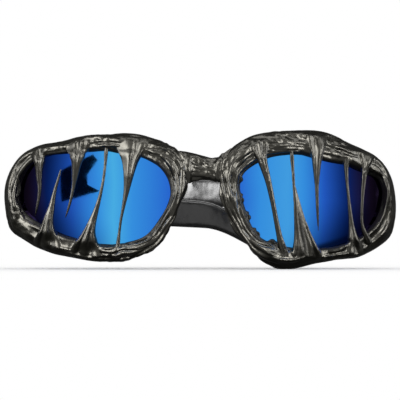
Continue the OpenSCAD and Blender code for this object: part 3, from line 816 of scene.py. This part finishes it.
# %% Wrap a socket
class Wire:
    """An output socket that can stand in an expression."""

    def __init__(self, finish, socket):
        self.finish, self.socket = finish, socket

    def combine(self, operation, left, right):
        kinds = [wire.socket.type for wire in (left, right) if isinstance(wire, Wire)]
        kind = "VectorMath" if "VECTOR" in kinds or "RGBA" in kinds else "Math"
        return self.finish.node(kind, {"operation": operation}, [left, right])

    def __add__(self, other):
        return self.combine("ADD", self, other)

    def __sub__(self, other):
        return self.combine("SUBTRACT", self, other)

    def __rsub__(self, other):
        return self.combine("SUBTRACT", other, self)

    def __mul__(self, other):
        return self.combine("MULTIPLY", self, other)

    __radd__, __rmul__ = __add__, __mul__


print("a wire knows", [name for name in vars(Wire) if name.endswith(("add__", "sub__", "mul__"))])

# %% [markdown]
# ## One method for every node
#
# Every node is added by one method: first its settings, because some of them change its sockets, and
# then a value or a wire for each socket. Nodes that come often have a short name of their own. The
# trial at the end shows what an expression costs in nodes.

# %% Start a finish
class Finish:
    """The nodes of one material, or of the world, filled by node() and closed by surface()."""

    def __init__(self, name, kind=bpy.data.materials):
        self.owner = kind.new(name)
        self.owner.use_nodes = True
        self.tree = self.owner.node_tree
        self.tree.nodes.clear()

    def node(self, kind, settings=None, inputs=None, output=0):
        """Adds a node: its settings are set first, then its sockets take values or wires."""
        made = self.tree.nodes.new("ShaderNode" + kind)
        for key, value in (settings or {}).items():
            if key == "stops":
                ramp = made.color_ramp.elements
                while len(ramp) < len(value):
                    ramp.new(0.5)
                for element, (position, colour) in zip(ramp, value):
                    element.position, element.color = position, colour
            else:
                setattr(made, key, value)
        pairs = inputs.items() if isinstance(inputs, dict) else enumerate(inputs or [])
        for key, value in pairs:
            if isinstance(value, Wire):
                self.tree.links.new(value.socket, made.inputs[key])
            else:
                made.inputs[key].default_value = value
        return Wire(self, made.outputs[output]) if made.outputs else None

    def place(self):
        """Where a point lies on the object, in metres."""
        return self.node("TexCoord", output="Object")

    def axis(self, vector, name):
        return self.node("SeparateXYZ", inputs=[vector], output=name)

    def noise(self, place, scale, detail=3.0, roughness=0.5):
        return self.node("TexNoise", {"noise_dimensions": "3D"},
                         {"Vector": place, "Scale": scale, "Detail": detail, "Roughness": roughness})

    def blend(self, factor, first, second):
        """Two colours mixed."""
        return self.node("Mix", {"data_type": "RGBA"}, {0: factor, 6: first, 7: second}, output=2)

    def ramp(self, value, *stops):
        """A value spread over stops: (position, value) or (position, colour)."""
        colours = [(p, c if isinstance(c, tuple) else (c, c, c, 1)) for p, c in stops]
        return self.node("ValToRGB", {"stops": colours}, [value])

    def fade(self, value, start, end, first=0.0, last=1.0):
        """An S curve from `first` at `start` to `last` at `end`."""
        return self.node("MapRange", {"interpolation_type": "SMOOTHSTEP"}, {
            "Value": value, "From Min": start, "From Max": end, "To Min": first, "To Max": last})

    def bump(self, height, strength, distance):
        return self.node("Bump", inputs={"Strength": strength, "Distance": distance, "Height": height})

    def ray(self, kind):
        """1 for rays of this kind, or else 0."""
        return self.node("LightPath", output=f"Is {kind} Ray")

    def shader(self, **sockets):
        """A Principled shader, its sockets named with underscores."""
        return self.node("BsdfPrincipled", inputs={k.replace("_", " "): v for k, v in sockets.items()})

    def surface(self, shader=None, **sockets):
        """The shader, or a Principled one from the sockets given, on the material's output."""
        self.node("OutputMaterial", inputs=[shader or self.shader(**sockets)])
        print(self.owner.name, "has", len(self.tree.nodes), "nodes")
        return self.owner


def grey(value):
    return (value, value, value, 1)


def dress(thing, material):
    thing.data.materials.clear()
    thing.data.materials.append(material)


trial = Finish("trial")
trial_wire = 1 - 0.5 * trial.noise(trial.place(), 10.0)
print("1 - 0.5 * noise takes", len(trial.tree.nodes), "nodes and ends in", trial_wire.socket.node.name)
bpy.data.materials.remove(trial.owner)

# %% [markdown]
# ## The melted black
#
# The coat is a black plastic with a wet gloss. Seen from the front it is a warm, near black olive, and
# only its ridges flash silver, so its colour is kept dark and its shine comes from the shader. Fine
# streaks follow the pull of the plastic: their noise is read along the flow that was noted on the mesh.
# The lip round each lens gets painted shade: another black with little gloss, which a Mix Shader
# blends in where the note says so.

# %% Finish of the melted coat
# The third black is for the painted shade of the lip round each lens; the first two are the coat's own
# tones
OLIVE_BLACK, DUSTY_BLACK, SHADE_BLACK = (
    (0.0004, 0.0004, 0.0003, 1), (0.0010, 0.0010, 0.0006, 1), (0.0016, 0.0016, 0.0012, 1))
WARM_GLOSS = (1.0, 0.96, 0.84, 1)


def melted_black():
    f = Finish("melted_black_plastic")
    streaks = f.noise(f.node("Attribute", {"attribute_name": "flow"}, output="Vector"), 0.6, 2.0, 0.5)
    patches = f.noise(f.place(), 160.0, 3.0, 0.6)
    drawn, sheltered = (f.node("Attribute", {"attribute_name": name}, output="Fac")
                        for name in ("drawn", "sheltered"))
    colour = f.blend(f.ramp(patches, (0.35, 0.0), (0.7, 1.0)), OLIVE_BLACK, DUSTY_BLACK)
    roughness = f.ramp(streaks * 0.4 + patches * 0.6, (0.3, 0.26), (0.7, 0.37)) + drawn * 0.02
    wet = f.shader(Base_Color=colour, Roughness=roughness, Normal=f.bump(streaks, 0.2, 0.0001),
                   IOR=1.39, Specular_Tint=WARM_GLOSS)
    # Painted shade: a black with little gloss stands for the shadow in the lip round each lens
    painted_shade = f.shader(Base_Color=SHADE_BLACK, Roughness=0.6, Specular_IOR_Level=0.1)
    return f.surface(f.node("MixShader", inputs=[sheltered * 0.9, wet, painted_shade]))


dress(melt, melted_black())

# %% [markdown]
# ## The blue mirror
#
# A mirror coating is a stack of thin films, so its hue shifts over a curved lens: royal blue beside the
# nose and violet where the lens turns away round the temple. A shift by viewing angle would slide over the
# lens when the camera moves, so it is painted from the place on the lens, on a fully metallic base. Its
# brightness is partly painted reflection: a lighter cyan band where the wearer looks straight ahead stands
# for a bright source reflected there, and the near-black ends stand for the dark room reflected where the
# lens turns away. A trace of wiping marks keeps the mirror from looking computed.

# %% Finish of the lenses
CYAN, BRIGHT, AZURE = (0.063, 0.41, 0.76, 1), (0.052, 0.33, 0.74, 1), (0.035, 0.27, 0.73, 1)
ROYAL, DEEP = (0.018, 0.112, 0.60, 1), (0.006, 0.035, 0.26, 1)
VIOLET, NIGHT = (0.060, 0.034, 0.11, 1), (0.014, 0.012, 0.022, 1)
# Stops over the width of each lens, from the viewer's left to right. The lightest stops, CYAN and BRIGHT,
# hold a painted reflection of a bright source, and NIGHT a painted reflection of the dark room
MIRROR_STOPS = {
    "left": [(0.0, ROYAL), (0.16, AZURE), (0.34, BRIGHT), (0.44, AZURE), (0.58, ROYAL), (0.74, DEEP),
             (0.9, VIOLET), (1.0, NIGHT)],
    "right": [(0.0, NIGHT), (0.08, VIOLET), (0.2, DEEP), (0.36, ROYAL), (0.52, AZURE), (0.62, CYAN),
              (0.74, AZURE), (1.0, ROYAL)],
}


def blue_mirror(side):
    f = Finish(f"blue_mirror_{side}")
    place = f.place()
    low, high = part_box(f"{side}_lens")
    wander = f.noise(place, 60.0, 2.0)
    shift = (f.axis(place, "X") - low.x) * (1 / (high.x - low.x)) + (wander - 0.5) * 0.05
    wiped = f.noise(place, 220.0, 4.0, 0.65)
    # The ramp paints the coating's hue together with painted reflection: a lighter middle and near-black
    # ends
    return f.surface(Base_Color=f.ramp(shift, *MIRROR_STOPS[side]), Metallic=1.0,
                     Roughness=f.ramp(wiped, (0.35, 0.03), (0.75, 0.09)))


for side, piece in zip(SIDES, lenses):
    dress(piece, blue_mirror(side))

# %% [markdown]
# ## Moulded plastic and hinge metal
#
# The front and the temples are injection moulded and polished. A mould leaves slow waves in the
# surface, which bend its reflections, and handling leaves faint smears that only show in the gloss.
# The hinge is nickel plated steel with fine turning marks: noise squeezed along the screw's axis.

# %% Finishes of the moulded parts and the hinges
def polished_black(name, base, low, high):
    """Black plastic of a base level, its roughness between two values."""
    f = Finish(name)
    place = f.place()
    smears = f.noise(place, 140.0, 5.0, 0.65)
    clouds = f.noise(place, 45.0, 3.0, 0.5)
    waves = f.noise(place * (1.0, 1.0, 0.6), 130.0, 2.0, 0.5)
    return f.surface(Base_Color=f.blend(clouds, grey(base), grey(base * 2)),
                     Roughness=f.ramp(smears, (0.35, low), (0.7, high)), Normal=f.bump(waves, 0.5, 0.0012))


def plated_steel():
    f = Finish("plated_steel")
    place = f.place()
    marks = f.noise(place * (1.0, 1.0, 9.0), 1200.0, 3.0, 0.6)
    stains = f.noise(place, 500.0, 2.0)
    return f.surface(Base_Color=f.blend(stains, grey(0.62), (0.52, 0.52, 0.50, 1)), Metallic=1.0,
                     Roughness=0.22 + 0.16 * marks, Normal=f.bump(marks, 0.2, 0.00005))


dress(nodes["front_frame"], polished_black("moulded_front_black", 0.012, 0.10, 0.28))
arm_black = polished_black("temple_black", 0.010, 0.14, 0.34)
for arm in arms:
    dress(arm, arm_black)
steel = plated_steel()
metal_parts = [name for name in nodes if any(word in name for word in ("leaf", "screw", "rivets"))]
for name in metal_parts:
    dress(nodes[name], steel)
print("steel parts:", metal_parts)

# %% [markdown]
# ## The room
#
# The camera sees plain white round the glasses. A shiny thing shows the room it stands in: a white wall
# behind the camera, and above and behind it a dim room that lets the black coat stay black. One world
# holds all of it, told apart by the kind of ray that asks.

# %% Make the room
ROOM_LIGHT, DIM_ROOM = 1.05, 0.06
WALL_FROM, WALL_TO = -0.2, -0.75  # how far forward a ray has to point to meet the wall


def white_room():
    """White for the camera, and a wall, a ceiling and a dim room for what shines."""
    f = Finish("white_room", bpy.data.worlds)
    away = f.node("TexCoord", output="Generated")
    wall = f.fade(f.axis(away, "Y"), WALL_FROM, WALL_TO)
    ceiling = f.fade(f.axis(away, "Z"), 0.42, 0.6, 1.0, 0.0)
    mirrored = DIM_ROOM + (1 - DIM_ROOM) * wall * ceiling
    direct = f.node("Math", {"operation": "MAXIMUM"}, [f.ray("Camera"), f.ray("Transmission")])
    glossy_ray = f.ray("Glossy")
    level = ROOM_LIGHT * (1 - direct) * (1 - glossy_ray) + direct + mirrored * glossy_ray
    f.node("OutputWorld", inputs=[f.node("Background", inputs={"Color": grey(1.0), "Strength": level})])
    return f.owner


bpy.context.scene.world = white_room()
print("nodes of the room:", len(bpy.context.scene.world.node_tree.nodes))

# %% [markdown]
# ## The floor
#
# The glasses stand on a pale matt floor, which keeps their shadow. Away from them it fades to the white
# of the room, so that no horizon shows. What shines sees it white in front and dark below, or else the
# lower half of the coat would turn grey.

# %% Lay the floor
FLOOR_REACH = 6.0  # metres from the middle to each side
FADE_FROM, FADE_TO = 0.10, 0.28


def staged(name, corners):
    """A flat piece of the stage, which isn't part of the glasses."""
    mesh = bpy.data.meshes.new(name)
    mesh.from_pydata(corners, [], [tuple(range(len(corners)))])
    piece = placed(name, mesh)
    return piece


def pale_floor():
    f = Finish("pale_floor")
    place = f.place()
    away = f.node("VectorMath", {"operation": "LENGTH"}, [place], output="Value")
    y = f.axis(place, "Y")
    wall = f.fade(f.node("Math", {"operation": "DIVIDE"}, [y, away]), WALL_FROM, WALL_TO)
    ahead = DIM_ROOM + (1 - DIM_ROOM) * wall * f.fade(y, -0.028, -0.036)
    camera_ray, glossy_ray = f.ray("Camera"), f.ray("Glossy")
    matt = f.node("BsdfDiffuse", inputs={"Color": grey(0.95)})
    glow = f.node("Emission", inputs={"Color": grey(1.0), "Strength": camera_ray + glossy_ray * ahead})
    white = f.fade(away, FADE_FROM, FADE_TO) * camera_ray + glossy_ray
    return f.surface(f.node("MixShader", inputs=[white, matt, glow]))


quarters = ((-1, -1), (1, -1), (1, 1), (-1, 1))
ground = staged("floor", [(x * FLOOR_REACH, y * FLOOR_REACH, 0) for x, y in quarters])
dress(ground, pale_floor())

# %% [markdown]
# ## The lamps
#
# The black coat needs narrow, bright sources to flash in, so strip lights stand above and beside it,
# outside what the lenses reflect. Light linking does what cards and flags do in a studio: two soft boxes
# light the melt alone, and one card lights the left temple in the gap of the nose. That card shines past
# the front, which would shade it. No strip lights the floor, so the shadow stays soft.

# %% Set the lamps
def listed(name, pieces, state):
    """A collection of pieces for light linking, all included or all excluded."""
    made = bpy.data.collections.new(name)
    for piece in pieces:
        made.objects.link(piece)
    for member in made.collection_objects:
        member.light_linking.link_state = state
    return made


def strip(name, place, target, width, height, brightness, only=None, past=()):
    """A soft strip light, sizes in metres. It can light one piece only, and shine past others."""
    data = bpy.data.lights.new(name, "AREA")
    data.shape, data.size, data.size_y = "RECTANGLE", width, height
    data.energy = brightness * math.pi * width * height
    lamp = placed(name, data)
    lamp.location = place
    lamp.rotation_euler = (Vector(target) - Vector(place)).to_track_quat("-Z", "Y").to_euler()
    lamp.visible_camera = False
    lit, state = ([only], "INCLUDE") if only else ([ground], "EXCLUDE")
    lamp.light_linking.receiver_collection = listed(name + "_lights", lit, state)
    if past:
        lamp.light_linking.blocker_collection = listed(name + "_ignores", past, "EXCLUDE")
    print(name, "gives", round(data.energy, 2), "W", "to " + only.name if only else "to all but the floor")


middle, nose_gap = (0, -0.02, 0.026), (0.01, 0.02, 0.03)
strip("brow_strip", (0.0, -0.50, 0.42), middle, 1.0, 0.12, 5)
strip("top_strip", (0.0, -0.08, 0.55), middle, 0.8, 0.16, 8)
strip("left_strip", (0.55, 0.0, 0.14), middle, 0.16, 0.6, 16)
strip("right_strip", (-0.55, 0.0, 0.14), middle, 0.14, 0.6, 14)
strip("left_softbox", (0.46, -0.38, 0.16), middle, 0.18, 0.5, 36, only=melt)
strip("right_softbox", (-0.46, -0.34, 0.22), middle, 0.32, 0.46, 29, only=melt)
strip("temple_card", (-0.25, -0.58, 0.05), nose_gap, 0.26, 0.30, 20, only=arms[0],
      past=[melt, nodes["front_frame"], *lenses])

# %% [markdown]
# ## A black flag for the mirror
#
# A white wall alone makes a mirror look like blue paint. A bent black card stands where the right lens
# reflects it and draws a dark wedge on it. It is switched off for all but glossy rays, so it is never
# seen itself and takes no light away.

# %% Hang the flag
FLAG_CORNERS = [
    (-0.58, -0.57, 0.25), (-0.63, -0.54, 0.165), (-0.63, -0.55, 0.11), (-0.57, -0.61, 0.075),
    (-0.70, -0.48, 0.03), (-0.745, -0.418, 0.015), (-0.745, -0.396, 0.18), (-0.60, -0.54, 0.28),
]


def flag(name, corners):
    """A black flag that only mirrors see."""
    piece, f = staged(name, corners), Finish("flag_black")
    dress(piece, f.surface(f.node("BsdfDiffuse", inputs={"Color": grey(0.01)})))
    piece.visible_camera = piece.visible_diffuse = piece.visible_shadow = piece.visible_transmission = False


flag("window_frame", FLAG_CORNERS)

# %% [markdown]
# ## The camera
#
# The glasses are looked at straight from the front, from so far that nothing looks skewed: 2.4 m. The
# size of one pixel of the picture on the glasses then gives the focal length, and the row on which the
# glasses stand gives the height. The camera is moved up and not tilted, which would make the sides lean.

# %% Set the camera
PICTURE_PIXELS = 400
PIXEL = 0.3775 * MM
MIDDLE_ROW, GROUND_ROW = 199.5, 269
CAMERA_AWAY = 2.4
camera_data = bpy.data.cameras.new("camera")
camera_data.sensor_width = 36
camera_data.lens = camera_data.sensor_width * CAMERA_AWAY / (PICTURE_PIXELS * PIXEL)
camera = placed("camera", camera_data)
camera.location = (0, cad_box[0][1] - CAMERA_AWAY, (GROUND_ROW - MIDDLE_ROW) * PIXEL)
camera.rotation_euler = (math.radians(90), 0, 0)
bpy.context.scene.camera = camera
bpy.context.scene.view_settings.view_transform = "Standard"
print("lens of the camera:", round(camera_data.lens), "mm")

# %% [markdown]
# ## The size of the glasses
#
# The dressed glasses have to keep the size of the CAD model.
